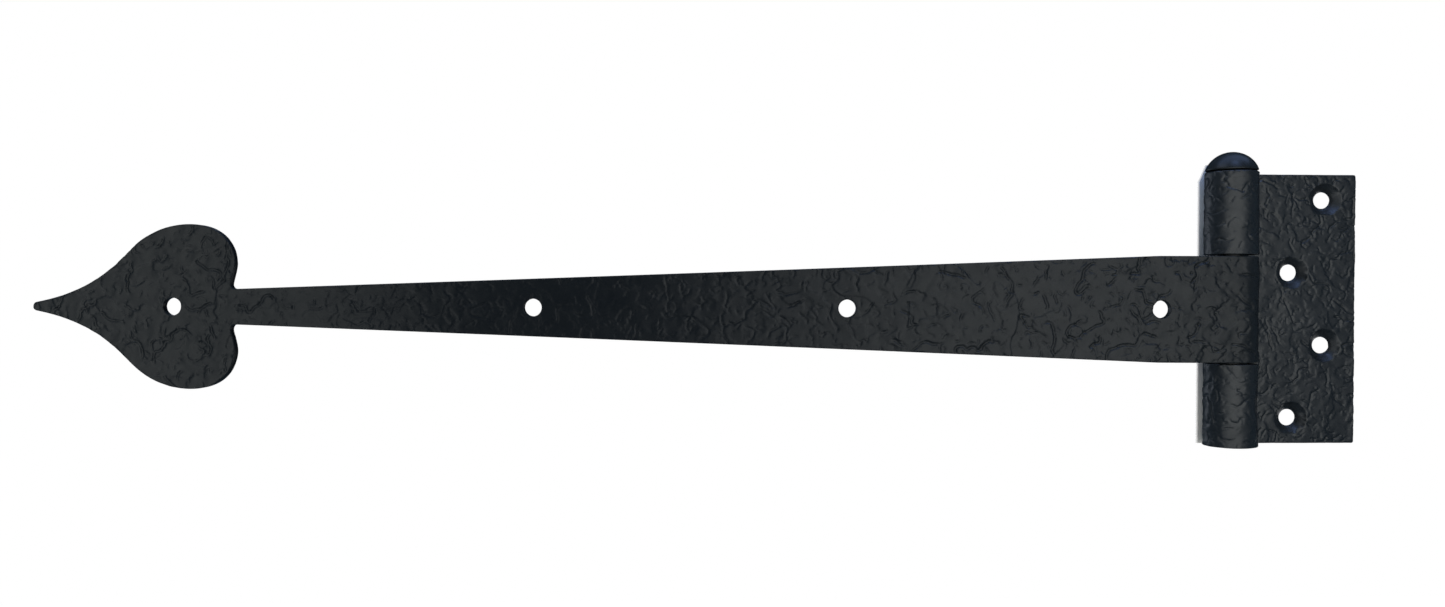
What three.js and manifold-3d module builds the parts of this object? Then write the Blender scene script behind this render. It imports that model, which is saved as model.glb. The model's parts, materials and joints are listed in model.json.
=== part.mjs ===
// A heavy strap hinge for a door, in millimetres, +Z up along the pin.
// Three pieces: a long tapered strap with a heart-shaped end, a butt plate with two knuckles,
// and a domed pin that drops through all three knuckles.
// The origin is on the back face of the butt plate, where it bears on the door jamb; the
// plate reaches towards +X, the strap towards -X, and the decorated faces look along -Y.

import * as THREE from 'three';
import { mergeVertices } from 'three/addons/utils/BufferGeometryUtils.js';
import Module from 'manifold-3d';

const wasm = await Module();
wasm.setup();

// ---------- driving dimensions ----------

// The steel both leaves are rolled from.
const sheetThickness = 3.0;
const edgeBevel = 0.4;

// The barrel: the knuckles' outer radius, and the pin's axis in the hinge's own frame.
const barrelRadius = 8.7;
const boreRadius = barrelRadius - sheetThickness;
const pinAxisX = -28.0;
const pinAxisY = -barrelRadius;
const seamGap = 0.4;

// The butt plate. Its two knuckles stand at its top and bottom corners.
const buttReach = 47.2;
const buttHeight = 94.5;
const buttKnuckleHeight = 28.5;
const notchReach = 9.3;
const screwHoleRadius = 2.9;
const screwHeadRadius = 5.6;
const screwLand = 0.3;
const screwPitch = 25.6;
const screwNearX = 24.6;
const screwFarX = 36.4;

// The strap, along its length u from the pin axis, and its half width.
const strapKnuckleHeight = 36.2;
const strapHalfWidth = strapKnuckleHeight / 2;
const strapParallelEnd = 28.0;
const neckU = 341.3;
const neckHalfWidth = 6.05;
const edgeHollow = 0.3;
const boltHoleRadius = 3.0;
const boltHolesU = [27.1, 133.5, 240.2, 362.7];
const strapLean = THREE.MathUtils.degToRad(2.0);

// The heart: the notch behind it, its lobes, its widest place, and the hollow of its point.
const notchU = 342.8;
const notchHalfWidth = 7.9;
const lobeBackU = 341.4;
const lobeBackHalfWidth = 14.9;
const heartWideU = 356.6;
const heartHalfWidth = 28.0;
const hollowStartU = 376.8;
const hollowStartHalfWidth = 19.2;
const hollowStartAngle = THREE.MathUtils.degToRad(45.8);
const pointU = 408.8;
const pointHalfWidth = 1.5;
const pointAngle = THREE.MathUtils.degToRad(11.2);
const strapLength = 410.0;

// The pin. Its head is a low dome with a short upright rim.
const pinRadius = 5.45;
const pinEndInset = 0.5;
const pinEndChamfer = 0.8;
const headRadius = 8.5;
const headGap = 0.55;
const headEdge = 0.2;
const domeRadius = 9.0;
const domeRise = 7.0;

// Fineness of the round shapes.
const arcSegments = 24;
const outlineSegments = 10;
const turnSegments = 48;
const domeSegments = 14;

// ---------- materials ----------

function satinBlackPaint() {
  return new THREE.MeshStandardMaterial({
    color: 0x2d2f30,
    roughness: 0.48,
    metalness: 0.0,
  });
}

// ---------- solids ----------

function toSolid(geometry) {
  const bare = geometry.clone();
  bare.deleteAttribute('normal');
  bare.deleteAttribute('uv');
  const merged = mergeVertices(bare, 1e-4);
  const mesh = new wasm.Mesh({
    numProp: 3,
    vertProperties: new Float32Array(merged.attributes.position.array),
    triVerts: new Uint32Array(merged.index.array),
  });
  return new wasm.Manifold(mesh);
}

function toGeometry(solid) {
  const { vertProperties, triVerts } = solid.getMesh();
  const geometry = new THREE.BufferGeometry();
  geometry.setAttribute('position', new THREE.BufferAttribute(vertProperties, 3));
  geometry.setIndex(new THREE.BufferAttribute(triVerts, 1));
  geometry.computeVertexNormals();
  return geometry;
}

// ---------- a rolled knuckle with its flat ----------

// Seen along the pin, with the pin axis at the origin: the flat runs towards +x at the far
// side of the barrel, and the sheet curls round the bore until it meets the flat again.
function rolledSection(flatReach) {
  const curlEnd = Math.asin((boreRadius - seamGap) / barrelRadius);
  const section = new THREE.Shape();
  section.moveTo(flatReach, barrelRadius);
  section.lineTo(0, barrelRadius);
  section.absarc(0, 0, barrelRadius, Math.PI / 2, 2 * Math.PI + curlEnd, false);
  section.lineTo(boreRadius * Math.cos(curlEnd), boreRadius * Math.sin(curlEnd));
  section.absarc(0, 0, boreRadius, curlEnd, Math.PI / 2, true);
  section.lineTo(flatReach, boreRadius);
  return section;
}

function rolledSheet(flatReach, height) {
  const geometry = new THREE.ExtrudeGeometry(rolledSection(flatReach), {
    depth: height - 2 * edgeBevel,
    bevelThickness: edgeBevel,
    bevelSize: edgeBevel,
    bevelOffset: -edgeBevel,
    bevelSegments: 1,
    curveSegments: arcSegments,
  });
  geometry.translate(0, 0, edgeBevel - height / 2);
  return toSolid(geometry);
}

// ---------- butt leaf ----------

// A countersunk screw hole, cut from the decorated face through to the back.
function screwCutter(x, z) {
  const past = 1.0;
  const geometry = new THREE.LatheGeometry(
    [
      new THREE.Vector2(0, boreRadius - past),
      new THREE.Vector2(screwHeadRadius, boreRadius - past),
      new THREE.Vector2(screwHeadRadius, boreRadius),
      new THREE.Vector2(screwHoleRadius, barrelRadius - screwLand),
      new THREE.Vector2(screwHoleRadius, barrelRadius + past),
      new THREE.Vector2(0, barrelRadius + past),
    ],
    turnSegments,
  );
  geometry.translate(x, 0, z);
  return toSolid(geometry);
}

// The space between the two knuckles, where the strap's knuckle turns.
function knuckleNotch() {
  const past = 1.0;
  const width = notchReach + barrelRadius + past;
  const height = buttHeight - 2 * buttKnuckleHeight;
  const geometry = new THREE.BoxGeometry(width, 2 * (barrelRadius + past), height);
  geometry.translate(notchReach - width / 2, 0, 0);
  return toSolid(geometry);
}

function makeButtLeaf() {
  let solid = rolledSheet(buttReach, buttHeight).subtract(knuckleNotch());
  for (const row of [-1.5, -0.5, 0.5, 1.5]) {
    const far = row === -0.5 || row === 1.5;
    solid = solid.subtract(screwCutter(far ? screwFarX : screwNearX, row * screwPitch));
  }
  const mesh = new THREE.Mesh(toGeometry(solid), satinBlackPaint());
  mesh.name = 'butt_leaf';
  mesh.position.set(pinAxisX, pinAxisY, 0);
  return mesh;
}

// ---------- strap leaf ----------

// One long edge of the strap and heart, as half widths along u from the pin to the point.
function halfOutline() {
  const taperMiddle = (strapHalfWidth + neckHalfWidth) / 2 - edgeHollow;
  const edge = new THREE.Path();
  edge.moveTo(boreRadius, strapHalfWidth);
  edge.lineTo(strapParallelEnd, strapHalfWidth);
  edge.quadraticCurveTo((strapParallelEnd + neckU) / 2, taperMiddle, neckU, neckHalfWidth);
  edge.quadraticCurveTo(notchU, neckHalfWidth, notchU, notchHalfWidth);
  edge.bezierCurveTo(
    notchU - 0.7, lobeBackHalfWidth - 4.0,
    lobeBackU, lobeBackHalfWidth - 2.0,
    lobeBackU, lobeBackHalfWidth,
  );
  edge.bezierCurveTo(
    lobeBackU, lobeBackHalfWidth + 5.0,
    heartWideU - 12.0, heartHalfWidth,
    heartWideU, heartHalfWidth,
  );
  const shoulder = 1.0;
  edge.bezierCurveTo(
    heartWideU + 12.5, heartHalfWidth,
    hollowStartU - shoulder * Math.cos(hollowStartAngle),
    hollowStartHalfWidth + shoulder * Math.sin(hollowStartAngle),
    hollowStartU, hollowStartHalfWidth,
  );
  const hollow = 11.9;
  const point = 16.0;
  const bluntness = 0.87;
  edge.bezierCurveTo(
    hollowStartU + hollow * Math.cos(hollowStartAngle),
    hollowStartHalfWidth - hollow * Math.sin(hollowStartAngle),
    pointU - point * Math.cos(pointAngle),
    pointHalfWidth + point * Math.sin(pointAngle),
    pointU, pointHalfWidth,
  );
  edge.quadraticCurveTo(strapLength, pointHalfWidth * bluntness, strapLength, 0);
  return edge.getPoints(outlineSegments);
}

// The flat of the strap: both edges, with the bolt holes, standing upright in the x-z plane.
function strapFlat() {
  const upper = halfOutline();
  const lower = upper.slice(0, -1).reverse().map((p) => new THREE.Vector2(p.x, -p.y));
  const outline = new THREE.Shape([...upper, ...lower]);
  for (const u of boltHolesU) {
    const hole = new THREE.Path();
    hole.absarc(u, 0, boltHoleRadius, 0, 2 * Math.PI, false);
    outline.holes.push(hole);
  }
  const geometry = new THREE.ExtrudeGeometry(outline, {
    depth: sheetThickness - 2 * edgeBevel,
    bevelThickness: edgeBevel,
    bevelSize: edgeBevel,
    bevelOffset: -edgeBevel,
    bevelSegments: 1,
    curveSegments: arcSegments / 2,
  });
  geometry.translate(0, 0, edgeBevel - barrelRadius);
  geometry.rotateX(Math.PI / 2);
  return toSolid(geometry);
}

function makeStrapLeaf() {
  const knuckleFlat = (boreRadius + strapParallelEnd) / 2;
  const solid = rolledSheet(knuckleFlat, strapKnuckleHeight).add(strapFlat());
  const geometry = toGeometry(solid);
  geometry.rotateZ(Math.PI);
  const mesh = new THREE.Mesh(geometry, satinBlackPaint());
  mesh.name = 'strap_leaf';
  mesh.position.set(pinAxisX, pinAxisY, 0);
  mesh.rotation.z = -strapLean;
  return mesh;
}

// ---------- hinge pin ----------

function makeHingePin() {
  const bottom = pinEndInset - buttHeight / 2;
  const seat = buttHeight / 2 + headGap;
  const domeCentre = buttHeight / 2 + domeRise - domeRadius;
  const rimAngle = Math.acos(headRadius / domeRadius);
  const profile = [
    new THREE.Vector2(0, bottom),
    new THREE.Vector2(pinRadius - pinEndChamfer, bottom),
    new THREE.Vector2(pinRadius, bottom + pinEndChamfer),
    new THREE.Vector2(pinRadius, seat),
    new THREE.Vector2(headRadius - headEdge, seat),
    new THREE.Vector2(headRadius, seat + headEdge),
  ];
  for (let i = 0; i < domeSegments; i += 1) {
    const angle = THREE.MathUtils.lerp(rimAngle, Math.PI / 2, i / domeSegments);
    const height = domeCentre + domeRadius * Math.sin(angle);
    profile.push(new THREE.Vector2(domeRadius * Math.cos(angle), height));
  }
  profile.push(new THREE.Vector2(0, domeCentre + domeRadius));
  const geometry = new THREE.LatheGeometry(profile, turnSegments);
  geometry.rotateX(Math.PI / 2);
  const mesh = new THREE.Mesh(toGeometry(toSolid(geometry)), satinBlackPaint());
  mesh.name = 'hinge_pin';
  mesh.position.set(pinAxisX, pinAxisY, 0);
  return mesh;
}

// ---------- assembly ----------

const hinge = new THREE.Group();
hinge.add(makeButtLeaf(), makeStrapLeaf(), makeHingePin());

export default hinge;
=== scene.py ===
import json
import math

import bpy
import numpy as np
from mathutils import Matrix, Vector
from mathutils.geometry import delaunay_2d_cdt


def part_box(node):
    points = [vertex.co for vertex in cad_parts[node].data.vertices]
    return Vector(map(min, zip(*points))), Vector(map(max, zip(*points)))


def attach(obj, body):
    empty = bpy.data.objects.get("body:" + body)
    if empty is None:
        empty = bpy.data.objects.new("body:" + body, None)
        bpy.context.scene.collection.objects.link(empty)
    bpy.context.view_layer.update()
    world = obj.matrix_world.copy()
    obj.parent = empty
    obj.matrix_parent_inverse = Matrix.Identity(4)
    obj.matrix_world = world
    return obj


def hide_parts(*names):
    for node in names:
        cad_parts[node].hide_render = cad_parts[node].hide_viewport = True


# The looks of a black strap hinge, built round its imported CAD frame.
# Shapes are worked out in millimetres and stored in metres. Each leaf is made as a flat blank,
# s along it and z across it, with hammered relief on both faces, and is then rolled round the pin:
# s is 0 where the flat meets the barrel, and negative round the curl.

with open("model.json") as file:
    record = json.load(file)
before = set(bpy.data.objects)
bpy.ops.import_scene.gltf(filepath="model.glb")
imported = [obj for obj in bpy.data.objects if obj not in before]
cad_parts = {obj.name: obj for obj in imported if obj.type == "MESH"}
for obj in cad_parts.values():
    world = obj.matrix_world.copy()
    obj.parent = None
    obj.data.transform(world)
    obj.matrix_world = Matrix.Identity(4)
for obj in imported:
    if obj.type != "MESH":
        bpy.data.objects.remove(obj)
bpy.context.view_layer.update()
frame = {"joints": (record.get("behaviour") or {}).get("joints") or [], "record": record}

MM = 0.001

# ---------- sizes that the frame gives ----------

swing = next(j for j in frame["joints"] if j["name"] == "strap_swing")
door_face = next(m for m in frame["record"]["mounts"] if m["name"] == "door_face")
butt_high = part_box("butt_leaf")[1] / MM
pin_low, pin_high = (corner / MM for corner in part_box("hinge_pin"))

PIN_X, PIN_Y = swing["pos_m"][0] / MM, swing["pos_m"][1] / MM
LEAN = math.atan2(door_face["axis"][0], door_face["axis"][1])
BARREL_R = butt_high.y - PIN_Y
BUTT_REACH = butt_high.x - PIN_X
BUTT_HALF = butt_high.z

# ---------- sizes that repeat the CAD's ----------

SHEET = 3.0
BEND_R = BARREL_R - SHEET / 2
SEAM_GAP = 0.4
CURL_ANGLE = 1.5 * math.pi + math.asin((BARREL_R - SHEET - SEAM_GAP) / BARREL_R)
CURL_LENGTH = CURL_ANGLE * BEND_R

BUTT_KNUCKLE = 28.5
NOTCH_REACH = 9.3
SCREW_R, SCREW_HEAD_R, SCREW_LAND = 2.9, 5.6, 0.3
SCREW_PITCH, SCREW_NEAR, SCREW_FAR = 25.6, 24.6, 36.4

STRAP_HALF = 18.1
PARALLEL_END = 28.0
NECK = (341.3, 6.05)
EDGE_HOLLOW = 0.3
BOLT_R = 3.0
BOLT_PLACES = (27.1, 133.5, 240.2, 362.7)
NOTCH = (342.8, 7.9)
LOBE_BACK = (341.4, 14.9)
HEART_WIDE = (356.6, 28.0)
HEART_FRONT_PULL, HEART_BACK_PULL = 12.5, 12.0
HOLLOW_START, HOLLOW_ANGLE, HOLLOW_PULL = (376.8, 19.2), math.radians(45.8), 11.9
POINT, POINT_ANGLE, POINT_PULL = (408.8, 1.5), math.radians(11.2), 16.0
BLUNTNESS = 0.87
STRAP_LENGTH = 410.0

PIN_R, PIN_CHAMFER = 5.45, 0.8
HEAD_R, HEAD_GAP, HEAD_EDGE = 8.5, 0.55, 0.2
DOME_R = 9.0

# ---------- seeded noise ----------


def lattice(ix, iy, seed):
    """A repeatable value from 0 to 1 at each whole-number place."""
    n = (ix * 374761393 + iy * 668265263 + seed * 974634777) & 0xFFFFFFFF
    n = ((n ^ (n >> 13)) * 1274126177) & 0xFFFFFFFF
    n = n ^ (n >> 16)
    return (n & 0xFFFF) / 65536.0


def noise(x, y, seed):
    """Smooth gradient noise, about -1 to 1, with features one unit across."""
    ix, iy = np.floor(x).astype(np.int64), np.floor(y).astype(np.int64)
    fx, fy = x - ix, y - iy

    def corner(dx, dy):
        a = lattice(ix + dx, iy + dy, seed) * 2 * math.pi
        return np.cos(a) * (fx - dx) + np.sin(a) * (fy - dy)

    u = fx**3 * (fx * (fx * 6 - 15) + 10)
    v = fy**3 * (fy * (fy * 6 - 15) + 10)
    low = corner(0, 0) * (1 - u) + corner(1, 0) * u
    high = corner(0, 1) * (1 - u) + corner(1, 1) * u
    return (low * (1 - v) + high * v) * 1.5


# How far the level lines are bent, and over what length, as shares of their own size.
BENDS = ((0.42, 0.8, 11), (0.065, 0.22, 13))


def winding(x, y, size, seed):
    """Noise whose level lines wander and hook, for creases."""
    wx, wy = x, y
    for share, length, step in BENDS:
        u, v = x / (length * size), y / (length * size)
        wx = wx + share * size * noise(u, v, seed + step)
        wy = wy + share * size * noise(u, v, seed + step + 1)
    return noise(wx / size, wy / size, seed)


def line_distance(x, y, size, seed):
    """Signed distance in mm to the nearest level line of the winding noise."""
    step, least_slope = 0.05, 0.35
    value = winding(x, y, size, seed)
    across = (winding(x + step, y, size, seed) - value) / step
    along = (winding(x, y + step, size, seed) - value) / step
    return value / np.maximum(np.hypot(across, along), least_slope / size)


def gate(x, y, size, level, seed):
    """0 to 1, and 1 on the share of the surface where a crease is let through."""
    hardness = 5
    return np.clip((noise(x / size, y / size, seed) - level) * hardness, 0, 1)


def ridge(distance, width):
    return np.exp(-((distance / width) ** 2))


# ---------- the hammered surface ----------

# Broad swells, by size and height.
SWELLS = ((11.0, 0.12), (4.5, 0.06))
# Each kind of crease: how far apart, half width, depth, size of its patches, and how rare they are.
CREASES = (
    (11.0, 0.32, 0.24, 8.0, -0.12),
    (7.4, 0.28, 0.20, 4.6, 0.04),
    (4.6, 0.25, 0.17, 2.8, 0.16),
    (2.7, 0.21, 0.12, 1.9, 0.32),
)
# Each set of flat plates: their size, height and softness of their step, and where they show.
PLATES = ((13.0, 0.11, 0.26, 7.0, -0.15), (6.5, 0.09, 0.24, 4.2, 0.0))
STEP_WIDTH = 0.7
# The raised lip beside each crease: its share of the depth, and how many half widths away it is.
LIP_SHARE, LIP_AWAY = 0.3, 2.3


def hammered(x, y, scale, seed):
    """Height in mm of the hammered surface, and how creased it is from 0 to 1."""
    x, y = x / scale, y / scale
    height, creased = np.zeros_like(x), np.zeros_like(x)
    for k, (size, rise) in enumerate(SWELLS):
        height = height + rise * noise(x / size, y / size, seed + k)
    for k, (size, step, soft, patch, level) in enumerate(PLATES):
        edge = line_distance(x, y, size, seed + 20 * k + 20)
        there = gate(x, y, patch, level, seed + 20 * k + 240)
        height = height + step * np.tanh(edge / soft) * there
        creased = np.maximum(creased, ridge(edge, STEP_WIDTH) * there)
    for k, (size, width, depth, patch, level) in enumerate(CREASES):
        away = line_distance(x, y, size, seed + 20 * k + 60)
        there = gate(x, y, patch, level, seed + 20 * k + 140)
        lip = LIP_SHARE * depth * ridge(np.abs(away) - LIP_AWAY * width, width)
        height = height + (lip - depth * ridge(away, width)) * there
        creased = np.maximum(creased, ridge(away, 2.2 * width) * there)
    return height, creased


# ---------- outlines ----------


def curve(*points, steps=24):
    """Points along a straight, quadratic or cubic curve, without its last one."""
    t = np.linspace(0, 1, steps, endpoint=False)[:, None]
    p = [np.array(q, float) for q in points]
    while len(p) > 1:
        p = [a * (1 - t) + b * t for a, b in zip(p, p[1:])]
    return p[0]


def even_loop(points, spacing):
    """A closed line through the points, cut into equal steps, with its outward normals."""
    ring = np.vstack([points, points[:1]])
    lengths = np.hypot(*np.diff(ring, axis=0).T)
    total = np.concatenate([[0], np.cumsum(lengths)])
    count = int(round(total[-1] / spacing))
    at = np.arange(count) * total[-1] / count
    loop = np.stack([np.interp(at, total, ring[:, k]) for k in (0, 1)], 1)
    tangent = np.roll(loop, -1, 0) - np.roll(loop, 1, 0)
    tangent /= np.hypot(*tangent.T)[:, None]
    return loop, np.stack([tangent[:, 1], -tangent[:, 0]], 1)


def rounded(corners, radius):
    """A closed outline through the corners, anticlockwise, with each corner rounded."""
    parts = []
    for before, corner, after in zip(np.roll(corners, 1, 0), corners, np.roll(corners, -1, 0)):
        into = (before - corner) / np.hypot(*(before - corner))
        out = (after - corner) / np.hypot(*(after - corner))
        parts.append(curve(corner + into * radius, corner, corner + out * radius, steps=8))
    return np.vstack(parts)


def strap_outline():
    """From the end of the curl along the upper edge to the point, and back along the lower edge."""
    cos, sin = math.cos(HOLLOW_ANGLE), math.sin(HOLLOW_ANGLE)
    corner = 0.8
    long_steps = 60
    taper_middle = ((PARALLEL_END + NECK[0]) / 2, (STRAP_HALF + NECK[1]) / 2 - EDGE_HOLLOW)
    pieces = [
        curve((-CURL_LENGTH, 0), (-CURL_LENGTH, STRAP_HALF - corner), steps=2),
        curve(
            (-CURL_LENGTH, STRAP_HALF - corner),
            (-CURL_LENGTH, STRAP_HALF),
            (-CURL_LENGTH + corner, STRAP_HALF),
            steps=8,
        ),
        curve((-CURL_LENGTH + corner, STRAP_HALF), (PARALLEL_END, STRAP_HALF), steps=2),
        curve((PARALLEL_END, STRAP_HALF), taper_middle, NECK, steps=long_steps),
        curve(NECK, (NOTCH[0], NECK[1]), NOTCH),
        curve(NOTCH, (NOTCH[0] - 0.7, LOBE_BACK[1] - 4), (LOBE_BACK[0], LOBE_BACK[1] - 2), LOBE_BACK),
        curve(
            LOBE_BACK,
            (LOBE_BACK[0], LOBE_BACK[1] + 5),
            (HEART_WIDE[0] - HEART_BACK_PULL, HEART_WIDE[1]),
            HEART_WIDE,
            steps=long_steps,
        ),
        curve(
            HEART_WIDE,
            (HEART_WIDE[0] + HEART_FRONT_PULL, HEART_WIDE[1]),
            (HOLLOW_START[0] - cos, HOLLOW_START[1] + sin),
            HOLLOW_START,
            steps=long_steps,
        ),
        curve(
            HOLLOW_START,
            (HOLLOW_START[0] + HOLLOW_PULL * cos, HOLLOW_START[1] - HOLLOW_PULL * sin),
            (
                POINT[0] - POINT_PULL * math.cos(POINT_ANGLE),
                POINT[1] + POINT_PULL * math.sin(POINT_ANGLE),
            ),
            POINT,
            steps=long_steps,
        ),
        curve(POINT, (STRAP_LENGTH, BLUNTNESS * POINT[1]), (STRAP_LENGTH, 0)),
        np.array([(STRAP_LENGTH, 0.0)]),
    ]
    upper = np.vstack(pieces)
    lower = upper[1:-1][::-1] * (1, -1)
    return np.vstack([upper, lower])[::-1]


def butt_outline():
    """The plate with a curl at its top and bottom, and the notch between them."""
    corner = 0.7
    inner = BUTT_HALF - BUTT_KNUCKLE
    corners = [
        (BUTT_REACH, -BUTT_HALF),
        (BUTT_REACH, BUTT_HALF),
        (-CURL_LENGTH, BUTT_HALF),
        (-CURL_LENGTH, inner),
        (NOTCH_REACH, inner),
        (NOTCH_REACH, -inner),
        (-CURL_LENGTH, -inner),
        (-CURL_LENGTH, -BUTT_HALF),
    ]
    return rounded(np.array(corners, float), corner)


def circle(centre, radius, count):
    """A hole's rim, with its normals into the hole's own middle."""
    a = np.arange(count) * 2 * math.pi / count
    normal = np.stack([np.cos(a), np.sin(a)], 1)
    return np.array(centre) + radius * normal, -normal


# ---------- a flat blank with a face on each side ----------


def inside(points, loop):
    """Which points are inside a closed loop."""
    result = np.zeros(len(points), bool)
    x, y = points.T
    for (ax, ay), (bx, by) in zip(loop, np.roll(loop, -1, 0)):
        if ay == by:
            continue
        crosses = (ay > y) != (by > y)
        result ^= crosses & (x < (bx - ax) * (y - ay) / (by - ay) + ax)
    return result


def hexagons(low, high, pitch):
    """An even triangular grid of points over a box."""
    rows = np.arange(low[1], high[1], pitch * math.sqrt(0.75))
    columns = np.arange(low[0], high[0], pitch)
    x, y = np.meshgrid(columns, rows)
    x = x + (np.arange(len(rows)) % 2)[:, None] * pitch / 2
    return np.stack([x.ravel(), y.ravel()], 1)


def clear_of(points, others, gap):
    """The points that are at least gap away from all the others, sorted into cells of that size."""
    taken = {}
    for q in others:
        taken.setdefault((int(q[0] // gap), int(q[1] // gap)), []).append(q)
    keep = np.ones(len(points), bool)
    for i, (px, py) in enumerate(points):
        cx, cy = int(px // gap), int(py // gap)
        for nx in (cx - 1, cx, cx + 1):
            for ny in (cy - 1, cy, cy + 1):
                for qx, qy in taken.get((nx, ny), ()):
                    if (px - qx) ** 2 + (py - qy) ** 2 < gap * gap:
                        keep[i] = False
    return points[keep]


CREASED_ENOUGH = 0.35


def fill_face(loops, relief, coarse, fine):
    """Triangles over the first loop with the other loops as holes, finer where it is creased.
    Gives the points, with the loops' own points first, and the triangles."""
    border = np.vstack(loops)
    low, high = border.min(0), border.max(0)
    outline, holes = loops[0], loops[1:]
    many = hexagons(low, high, fine)
    many = many[relief(many[:, 0], many[:, 1])[1] > CREASED_ENOUGH]
    few = hexagons(low, high, coarse)
    few = few[relief(few[:, 0], few[:, 1])[1] <= CREASED_ENOUGH]
    chosen = np.vstack([many, few])
    chosen = chosen[inside(chosen, outline)]
    for hole in holes:
        chosen = chosen[~inside(chosen, hole)]
    chosen = clear_of(chosen, border, 0.75 * fine)
    points = np.vstack([border, chosen])
    edges, start = [], 0
    for loop in loops:
        n = len(loop)
        edges += [(start + i, start + (i + 1) % n) for i in range(n)]
        start += n
    verts, _, triangles, origins, _, _ = delaunay_2d_cdt(
        [Vector(p) for p in points], edges, [], 0, 1e-7, True
    )
    triangles = np.array(triangles)
    middle = np.array([(v.x, v.y) for v in verts])[triangles].mean(1)
    keep = inside(middle, outline)
    for hole in holes:
        keep &= ~inside(middle, hole)
    came_from = np.array([max(group) if group else -1 for group in origins])
    return points, came_from[triangles[keep]]


def face_rows(rounding):
    """Rows down a rounded edge, from one face to the other: how far out, and how deep."""
    turn = np.radians((0, 30, 60, 90))
    top = [(-rounding * (1 - math.sin(a)), rounding * (1 - math.cos(a))) for a in turn]
    return top + [(out, SHEET - deep) for out, deep in reversed(top)]


# How deep below a face its relief still moves the edge of the sheet.
RELIEF_DEPTH = 0.9


def sheet_mesh(name, loop, holes, reliefs, pitches, place):
    """A closed sheet. Each border is (points, normals, rows); the first border is the outline.
    reliefs and pitches are those of its front and back, and place rolls it into position."""
    borders = [loop, *holes]
    fronts = [p + n * rows[0][0] for p, n, rows in borders]
    backs = [p + n * rows[-1][0] for p, n, rows in borders]
    flat, deep, faces = [], [], []
    offset = 0
    for loops, depth, relief, pitch in (
        (fronts, 0.0, reliefs[0], pitches[0]),
        (backs, SHEET, reliefs[1], pitches[1]),
    ):
        points, triangles = fill_face(loops, relief, *pitch)
        height = relief(points[:, 0], points[:, 1])[0]
        flat.append(points)
        deep.append(depth - height if depth == 0 else depth + height)
        faces.append((triangles if depth == 0 else triangles[:, ::-1]) + offset)
        offset += len(points)
    back_start = len(flat[0])
    start = 0
    for number, (p, n, rows) in enumerate(borders):
        count = len(p)
        ring = [np.arange(count) + start]
        lift = [relief(p[:, 0], p[:, 1])[0] for relief in reliefs]
        for out, depth in rows[1:-1]:
            near = max(1 - depth / RELIEF_DEPTH, 0), max(1 - (SHEET - depth) / RELIEF_DEPTH, 0)
            flat.append(p + n * out)
            deep.append(depth - near[0] * lift[0] + near[1] * lift[1])
            ring.append(np.arange(count) + offset)
            offset += count
        ring.append(np.arange(count) + start + back_start)
        start += count
        for upper, lower in zip(ring, ring[1:]):
            quad = np.stack([np.roll(upper, -1), upper, lower, np.roll(lower, -1)], 1)
            if number:
                quad = quad[:, ::-1]
            faces.append(quad)
    flat, deep = np.vstack(flat), np.concatenate(deep)
    return add_piece(name, place(flat[:, 0], flat[:, 1], SHEET / 2 - deep), faces)


def add_piece(name, points_mm, faces):
    """A smooth-shaded piece from its points and its groups of faces."""
    mesh = bpy.data.meshes.new(name)
    mesh.from_pydata(points_mm * MM, [], [f for group in faces for f in group.tolist()])
    mesh.polygons.foreach_set("use_smooth", np.ones(len(mesh.polygons), bool))
    mesh.update()
    piece = bpy.data.objects.new(name, mesh)
    bpy.context.scene.collection.objects.link(piece)
    return piece


def rolled(s, out):
    """Where a flat place goes in the section through the pin, with its distance out from the bend."""
    angle = math.pi / 2 + np.maximum(-s, 0) / BEND_R
    x = np.where(s > 0, s, (BEND_R + out) * np.cos(angle))
    y = np.where(s > 0, BEND_R + out, (BEND_R + out) * np.sin(angle))
    return x, y


def place_butt(s, z, front):
    x, y = rolled(s, -front)
    return np.stack([PIN_X + x, PIN_Y + y, z], 1)


def place_strap(s, z, front):
    x, y = rolled(s, front)
    cos, sin = math.cos(LEAN), math.sin(LEAN)
    return np.stack([PIN_X - x * cos - y * sin, PIN_Y + x * sin - y * cos, z], 1)


# ---------- pieces ----------


def strength(places, shares, scale, seed):
    """The hammered relief, with its share of the full depth going from place to place along s."""

    def relief(s, z):
        height, creased = hammered(s, z, scale, seed)
        keep = np.interp(s, places, shares)
        return height * keep, creased * np.clip(keep * 2, 0, 1)

    return relief


EDGE_ROUNDING, BOLT_ROUNDING, SCREW_ROUNDING = 0.3, 0.35, 0.12

# The relief's strength along the strap's face. Both leaves are smooth inside their knuckles.
STRAP_PLACES = (-12, 0, 90, 160, 230, 320, 345)
STRAP_SHARES = (0.8, 1.7, 1.6, 1.1, 0.8, 0.9, 1.3)
STRAP_SCALE = 1.18


def make_strap():
    outline = (*even_loop(strap_outline(), 0.55), face_rows(EDGE_ROUNDING))
    rows = face_rows(BOLT_ROUNDING)
    holes = [(*circle((u, 0), BOLT_R, 72), rows) for u in BOLT_PLACES]
    front = strength(STRAP_PLACES, STRAP_SHARES, STRAP_SCALE, 3)
    back = strength((2, 8), (0, 0.8), STRAP_SCALE, 210)
    pitches = (0.88, 0.345), (1.3, 0.62)
    return sheet_mesh("strap_leaf_steel", outline, holes, (front, back), pitches, place_strap)


def screw_rows():
    """Rows down a countersunk hole, from the face to the back: how far out, and how deep."""
    rim = SCREW_ROUNDING
    cone = SCREW_HEAD_R - SCREW_R
    land = SHEET - SCREW_LAND
    return [
        (-(cone + rim), 0.0),
        (-(cone - 0.02), rim),
        (-(cone - rim) * 0.66, 0.34 * land),
        (-(cone - rim) * 0.33, 0.67 * land),
        (0.0, land),
        (0.0, SHEET - rim),
        (-rim, SHEET),
    ]


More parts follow.
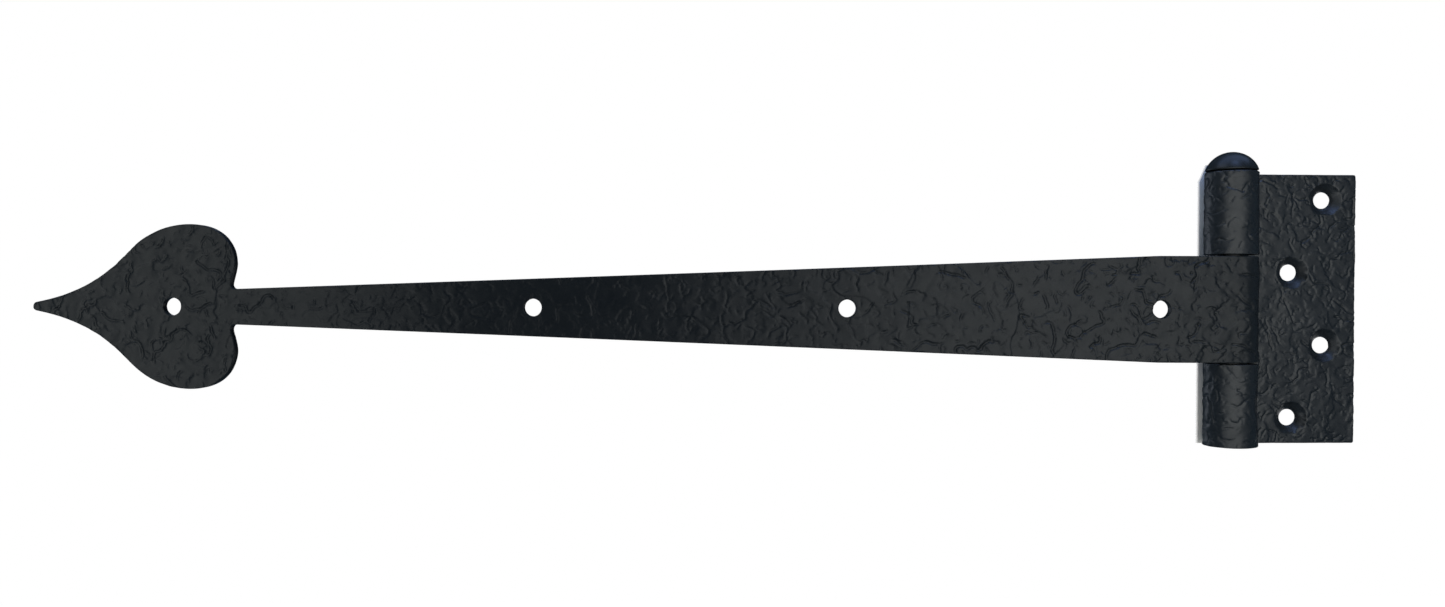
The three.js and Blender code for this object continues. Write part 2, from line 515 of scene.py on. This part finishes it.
def make_butt():
    outline = (*even_loop(butt_outline(), 0.5), face_rows(EDGE_ROUNDING))
    holes = []
    for row in (-1.5, -0.5, 0.5, 1.5):
        u = SCREW_FAR if row in (-0.5, 1.5) else SCREW_NEAR
        holes.append((*circle((u, row * SCREW_PITCH), SCREW_R, 96), screw_rows()))
    front = strength((2, 6), (0, 1.1), 1.0, 31)
    back = strength((-5, 5), (1.1, 0.9), 1.0, 57)
    pitches = (0.8, 0.31), (0.85, 0.34)
    return sheet_mesh("butt_leaf_steel", outline, holes, (front, back), pitches, place_butt)


def pin_profile():
    """Radius and height, from the middle of the pin's lower end to the top of its dome."""
    bottom, top = pin_low.z, pin_high.z
    seat = BUTT_HALF + HEAD_GAP
    centre = top - DOME_R
    fillet = 0.2
    shank_rings, dome_rings = 12, 40
    profile = [(0, bottom), (PIN_R - PIN_CHAMFER, bottom), (PIN_R, bottom + PIN_CHAMFER)]
    profile += [(PIN_R, z) for z in np.linspace(bottom + 2, seat - fillet, shank_rings)]
    profile += [(PIN_R + fillet, seat)]
    for a in np.radians((0, 30, 60, 90)):
        out, up = HEAD_EDGE * (1 - math.sin(a)), HEAD_EDGE * (1 - math.cos(a))
        profile.append((HEAD_R - out, seat + up))
    for a in np.linspace(math.acos(HEAD_R / DOME_R), math.pi / 2, dome_rings)[:-1]:
        profile.append((DOME_R * math.cos(a), centre + DOME_R * math.sin(a)))
    profile.append((0, top))
    return np.array(profile).T


def make_pin():
    r, z = pin_profile()
    turns = 128
    a = np.arange(turns) * 2 * math.pi / turns
    rings = r[1:-1, None] * np.cos(a), r[1:-1, None] * np.sin(a), np.repeat(z[1:-1, None], turns, 1)
    points = np.stack([c.ravel() for c in rings], 1) + (PIN_X, PIN_Y, 0)
    points = np.vstack([points, [(PIN_X, PIN_Y, z[0]), (PIN_X, PIN_Y, z[-1])]])
    index = np.arange(len(r[1:-1]) * turns).reshape(-1, turns)
    low, high = index[:-1], index[1:]
    quads = np.stack([low, np.roll(low, -1, 1), np.roll(high, -1, 1), high], -1).reshape(-1, 4)
    ends = []
    for ring, tip, flip in ((index[0], len(points) - 2, True), (index[-1], len(points) - 1, False)):
        fan = np.stack([ring, np.roll(ring, -1), np.full(turns, tip)], 1)
        ends.append(fan[:, ::-1] if flip else fan)
    return add_piece("hinge_pin_steel", points, [quads, *ends])


# ---------- materials ----------


def satin_paint(name, base, roughness, shine, peel):
    """Black paint, uneven in tint and gloss, with a fine orange-peel surface of strength peel."""
    material = bpy.data.materials.new(name)
    material.use_nodes = True
    nodes, links = material.node_tree.nodes, material.node_tree.links
    shader = nodes["Principled BSDF"]
    shader.inputs["Metallic"].default_value = 0.0
    shader.inputs["IOR"].default_value = 1.5
    shader.inputs["Specular IOR Level"].default_value = shine
    place = nodes.new("ShaderNodeTexCoord")

    def texture(scale, detail):
        """Noise with scale features to the metre."""
        t = nodes.new("ShaderNodeTexNoise")
        t.inputs["Scale"].default_value = scale
        t.inputs["Detail"].default_value = detail
        links.new(place.outputs["Object"], t.inputs["Vector"])
        return t

    def ramp(source, low, high):
        """The middle of the noise's range, spread from low to high."""
        r = nodes.new("ShaderNodeMapRange")
        r.inputs["From Min"].default_value = 0.3
        r.inputs["From Max"].default_value = 0.7
        r.inputs["To Min"].default_value = low
        r.inputs["To Max"].default_value = high
        links.new(source.outputs["Fac"], r.inputs["Value"])
        return r

    tint = nodes.new("ShaderNodeMix")
    tint.data_type = "RGBA"
    tint.inputs["A"].default_value = (*[c * 0.82 for c in base], 1)
    tint.inputs["B"].default_value = (base[0] * 1.3, base[1] * 1.2, base[2] * 1.12, 1)
    links.new(ramp(texture(90, 4), 0, 1).outputs["Result"], tint.inputs["Factor"])
    links.new(tint.outputs["Result"], shader.inputs["Base Color"])
    uneven = 0.05
    gloss = ramp(texture(260, 5), roughness - uneven, roughness + uneven)
    links.new(gloss.outputs["Result"], shader.inputs["Roughness"])
    bump = nodes.new("ShaderNodeBump")
    bump.inputs["Distance"].default_value = 0.00004
    bump.inputs["Strength"].default_value = peel
    links.new(texture(1800, 3).outputs["Fac"], bump.inputs["Height"])
    links.new(bump.outputs["Normal"], shader.inputs["Normal"])
    return material


# ---------- assembly ----------

LEAF_BLACK, HEAD_BLACK = (0.0085, 0.0102, 0.0115), (0.010, 0.012, 0.013)
strap_paint = satin_paint("strap_black", LEAF_BLACK, roughness=0.40, shine=0.38, peel=0.5)
butt_paint = satin_paint("butt_black", LEAF_BLACK, roughness=0.38, shine=0.62, peel=0.5)
head_paint = satin_paint("head_black", HEAD_BLACK, roughness=0.34, shine=0.34, peel=0.25)

for make, body, node, slot, paint in (
    (make_strap, "strap", "strap_leaf", "strap_leaf_paint", strap_paint),
    (make_butt, "butt", "butt_leaf", "butt_leaf_paint", butt_paint),
    (make_pin, "pin", "hinge_pin", "pin_paint", head_paint),
):
    piece = make()
    piece.data.materials.append(paint)
    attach(piece, body)
    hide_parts(node)

# ---------- camera, placed in metres ----------

CAMERA_FROM_PIN = (-0.18797, -0.38037, 0.00603)
CAMERA_TURN = (89.323, -0.16, -1.807)
SENSOR_WIDTH, LENS = 36.0, 27.80

camera_data = bpy.data.cameras.new("camera")
camera_data.sensor_width = SENSOR_WIDTH
camera_data.lens = LENS
camera = bpy.data.objects.new("camera", camera_data)
camera.location = Vector((PIN_X * MM, PIN_Y * MM, 0)) + Vector(CAMERA_FROM_PIN)
camera.rotation_euler = [math.radians(a) for a in CAMERA_TURN]
bpy.context.scene.collection.objects.link(camera)
bpy.context.scene.camera = camera

# ---------- stage ----------

# The card beside the barrel, in mm: how far behind the hinge it is, how far it reaches past the
# pin, how wide its faded edge is, and how much it goes past the barrel's lower and upper ends.
CARD_GAP = 0.8
CARD_REACH, CARD_FADE = 7.7, 1.0
CARD_BELOW, CARD_ABOVE = 0.4, 3.5
SHOULDER_HEIGHT, SHOULDER_WIDTH = 6.0, 2.6
# The card's colour at its foot and at its top: painted darker and bluer towards the top, a painted
# bluish shade.
CARD_LOW_SHADE_TINT, CARD_HIGH_SHADE_TINT = (1.0, 0.92, 0.82, 1), (0.65, 0.70, 0.78, 1)


def panel(name, low, high, material):
    """An upright or level rectangle between two corners, on the stage."""
    a, b = Vector(low), Vector(high)
    if a.z == b.z:
        points = [a, (b.x, a.y, a.z), b, (a.x, b.y, a.z)]
    else:
        points = [a, (b.x, a.y, a.z), b, (a.x, a.y, b.z)]
    mesh = bpy.data.meshes.new(name)
    mesh.from_pydata(points, [], [(0, 1, 2, 3)])
    mesh.materials.append(material)
    obj = bpy.data.objects.new(name, mesh)
    bpy.context.scene.collection.objects.link(obj)
    return obj


def shadow_card(name):
    """A card beside the barrel, warm white at its foot. It takes the barrel's shadow and fades out at
    its far edge, sooner towards its top, and is clear from behind, so the shade shows only in a
    narrow band beside the barrel. Its colour is painted darker and bluer towards its top: a painted
    bluish shade."""
    material = bpy.data.materials.new(name)
    material.use_nodes = True
    nodes, links = material.node_tree.nodes, material.node_tree.links
    nodes.clear()
    place = nodes.new("ShaderNodeTexCoord")
    split = nodes.new("ShaderNodeSeparateXYZ")
    links.new(place.outputs["Object"], split.inputs["Vector"])

    def fade(source, start, end, low=0.0, high=1.0):
        """From low at start to high at end, both places in mm."""
        r = nodes.new("ShaderNodeMapRange")
        r.inputs["From Min"].default_value = start * MM
        r.inputs["From Max"].default_value = end * MM
        r.inputs["To Min"].default_value = low
        r.inputs["To Max"].default_value = high
        links.new(source, r.inputs["Value"])
        return r.outputs["Result"]

    top = BUTT_HALF + CARD_ABOVE
    shoulder = fade(split.outputs["Z"], top - SHOULDER_HEIGHT, top, 0.0, SHOULDER_WIDTH * MM)
    across = nodes.new("ShaderNodeMath")
    across.operation = "SUBTRACT"
    links.new(split.outputs["X"], across.inputs[0])
    links.new(shoulder, across.inputs[1])
    edge = PIN_X - CARD_REACH
    share = fade(across.outputs["Value"], edge, edge + CARD_FADE)
    # Painted shade: the card's colour turns darker and bluer from the barrel's lower end to its upper
    # end.
    tint = nodes.new("ShaderNodeMix")
    tint.data_type = "RGBA"
    tint.inputs["A"].default_value = CARD_LOW_SHADE_TINT
    tint.inputs["B"].default_value = CARD_HIGH_SHADE_TINT
    links.new(fade(split.outputs["Z"], -BUTT_HALF, BUTT_HALF), tint.inputs["Factor"])
    shaded = nodes.new("ShaderNodeBsdfDiffuse")
    links.new(tint.outputs["Result"], shaded.inputs["Color"])
    clear = nodes.new("ShaderNodeBsdfTransparent")
    front = nodes.new("ShaderNodeMixShader")
    links.new(share, front.inputs["Fac"])
    links.new(clear.outputs["BSDF"], front.inputs[1])
    links.new(shaded.outputs["BSDF"], front.inputs[2])
    side = nodes.new("ShaderNodeNewGeometry")
    mix = nodes.new("ShaderNodeMixShader")
    links.new(side.outputs["Backfacing"], mix.inputs["Fac"])
    links.new(front.outputs["Shader"], mix.inputs[1])
    links.new(clear.outputs["BSDF"], mix.inputs[2])
    out = nodes.new("ShaderNodeOutputMaterial")
    links.new(mix.outputs["Shader"], out.inputs["Surface"])
    return material


def pale_floor(name):
    material = bpy.data.materials.new(name)
    material.use_nodes = True
    shader = material.node_tree.nodes["Principled BSDF"]
    shader.inputs["Base Color"].default_value = (0.8, 0.8, 0.8, 1)
    shader.inputs["Roughness"].default_value = 0.9
    shader.inputs["Emission Color"].default_value = (1, 1, 1, 1)
    shader.inputs["Emission Strength"].default_value = 1.0
    return material


card = panel(
    "card",
    ((PIN_X - CARD_REACH - CARD_FADE) * MM, CARD_GAP * MM, -(BUTT_HALF + CARD_BELOW) * MM),
    ((PIN_X - CARD_FADE) * MM, CARD_GAP * MM, (BUTT_HALF + CARD_ABOVE) * MM),
    shadow_card("card_painted_shade"),
)
FLOOR_Z = -0.55
floor = panel("floor", (-4, -4, FLOOR_Z), (4, 1.6, FLOOR_Z), pale_floor("floor_white"))
for sheet in (card, floor):
    sheet.visible_shadow = False
    sheet.visible_diffuse = False
    sheet.visible_glossy = False
    sheet.visible_transmission = False


def soft_light(name, place, aim, size, radiance, spread=180):
    """A rectangular light of the given radiance, not seen by the camera. Places are in metres."""
    data = bpy.data.lights.new(name, "AREA")
    data.shape = "RECTANGLE"
    data.size, data.size_y = size
    peak = max(radiance)
    data.color = [c / peak for c in radiance]
    data.energy = peak * math.pi * size[0] * size[1]
    data.spread = math.radians(spread)
    light = bpy.data.objects.new(name, data)
    light.location = place
    light.rotation_euler = (Vector(aim) - Vector(place)).to_track_quat("-Z", "Y").to_euler()
    light.visible_camera = False
    bpy.context.scene.collection.objects.link(light)


# Upright panels in front of the hinge: middle, width, radiance and spread.
FRONT_Y, FRONT_HEIGHT = -0.165, 0.24
for name, x, width, radiance, spread in (
    ("front_key", -0.0365, 0.163, (1.12, 1.14, 1.11), 180),
    ("front_middle", -0.165, 0.094, (0.66, 0.67, 0.66), 180),
    ("front_side", 0.090, 0.09, (0.28, 0.29, 0.30), 180),
    ("front_left", -0.487, 0.246, (0.46, 0.47, 0.45), 110),
):
    soft_light(name, (x, FRONT_Y, 0), (x, 0, 0), (width, FRONT_HEIGHT), radiance, spread)

# Lights further off, and a small blue one close above the dome.
DOME = (-0.028, -0.009, 0.052)
soft_light("low_left", (-1.1, -1.0, -0.65), (-0.2, 0, 0), (0.7, 0.5), (0.75, 0.77, 0.80))
soft_light("top_window", (0.0, 0.02, 0.9), (0.0, 0.02, 0), (1.7, 0.62), (0.52, 0.73, 1.32))
soft_light("dome_lamp", (-0.025, -0.084, 0.182), DOME, (0.06, 0.06), (1.3, 1.9, 3.7))
soft_light("upper_left", (-0.75, -0.15, 0.65), (0, 0, 0.05), (0.6, 0.5), (0.75, 0.78, 0.80))
soft_light("back_right", (0.75, 0.80, -0.42), (-0.2, 0, 0), (0.6, 0.4), (1.2, 1.2, 1.2))
soft_light("back_left", (-0.9, 1.0, 0.05), (-0.1, 0, 0), (0.6, 0.6), (0.75, 0.8, 0.9))

DIM = (0.075, 0.115, 0.16, 1)
DARK_SIDE = (0.46, 0.89, 0)


def studio_world():
    """White to the camera. As light it is dim and bluish, and almost out towards the dark side."""
    world = bpy.data.worlds.new("studio")
    world.use_nodes = True
    nodes, links = world.node_tree.nodes, world.node_tree.links
    lit = nodes["Background"]
    lit.inputs["Color"].default_value = DIM
    toward = nodes.new("ShaderNodeTexCoord")
    dot = nodes.new("ShaderNodeVectorMath")
    dot.operation = "DOT_PRODUCT"
    dot.inputs[1].default_value = DARK_SIDE
    links.new(toward.outputs["Generated"], dot.inputs[0])
    fade = nodes.new("ShaderNodeMapRange")
    fade.inputs["From Min"].default_value = 0.55
    fade.inputs["From Max"].default_value = 0.9
    fade.inputs["To Min"].default_value = 1.0
    fade.inputs["To Max"].default_value = 0.1
    links.new(dot.outputs["Value"], fade.inputs["Value"])
    links.new(fade.outputs["Result"], lit.inputs["Strength"])
    seen = nodes.new("ShaderNodeBackground")
    seen.inputs["Color"].default_value = (1, 1, 1, 1)
    rays = nodes.new("ShaderNodeLightPath")
    mix = nodes.new("ShaderNodeMixShader")
    links.new(rays.outputs["Is Camera Ray"], mix.inputs["Fac"])
    links.new(lit.outputs["Background"], mix.inputs[1])
    links.new(seen.outputs["Background"], mix.inputs[2])
    links.new(mix.outputs["Shader"], nodes["World Output"].inputs["Surface"])
    return world


bpy.context.scene.world = studio_world()
bpy.context.scene.view_settings.view_transform = "Standard"
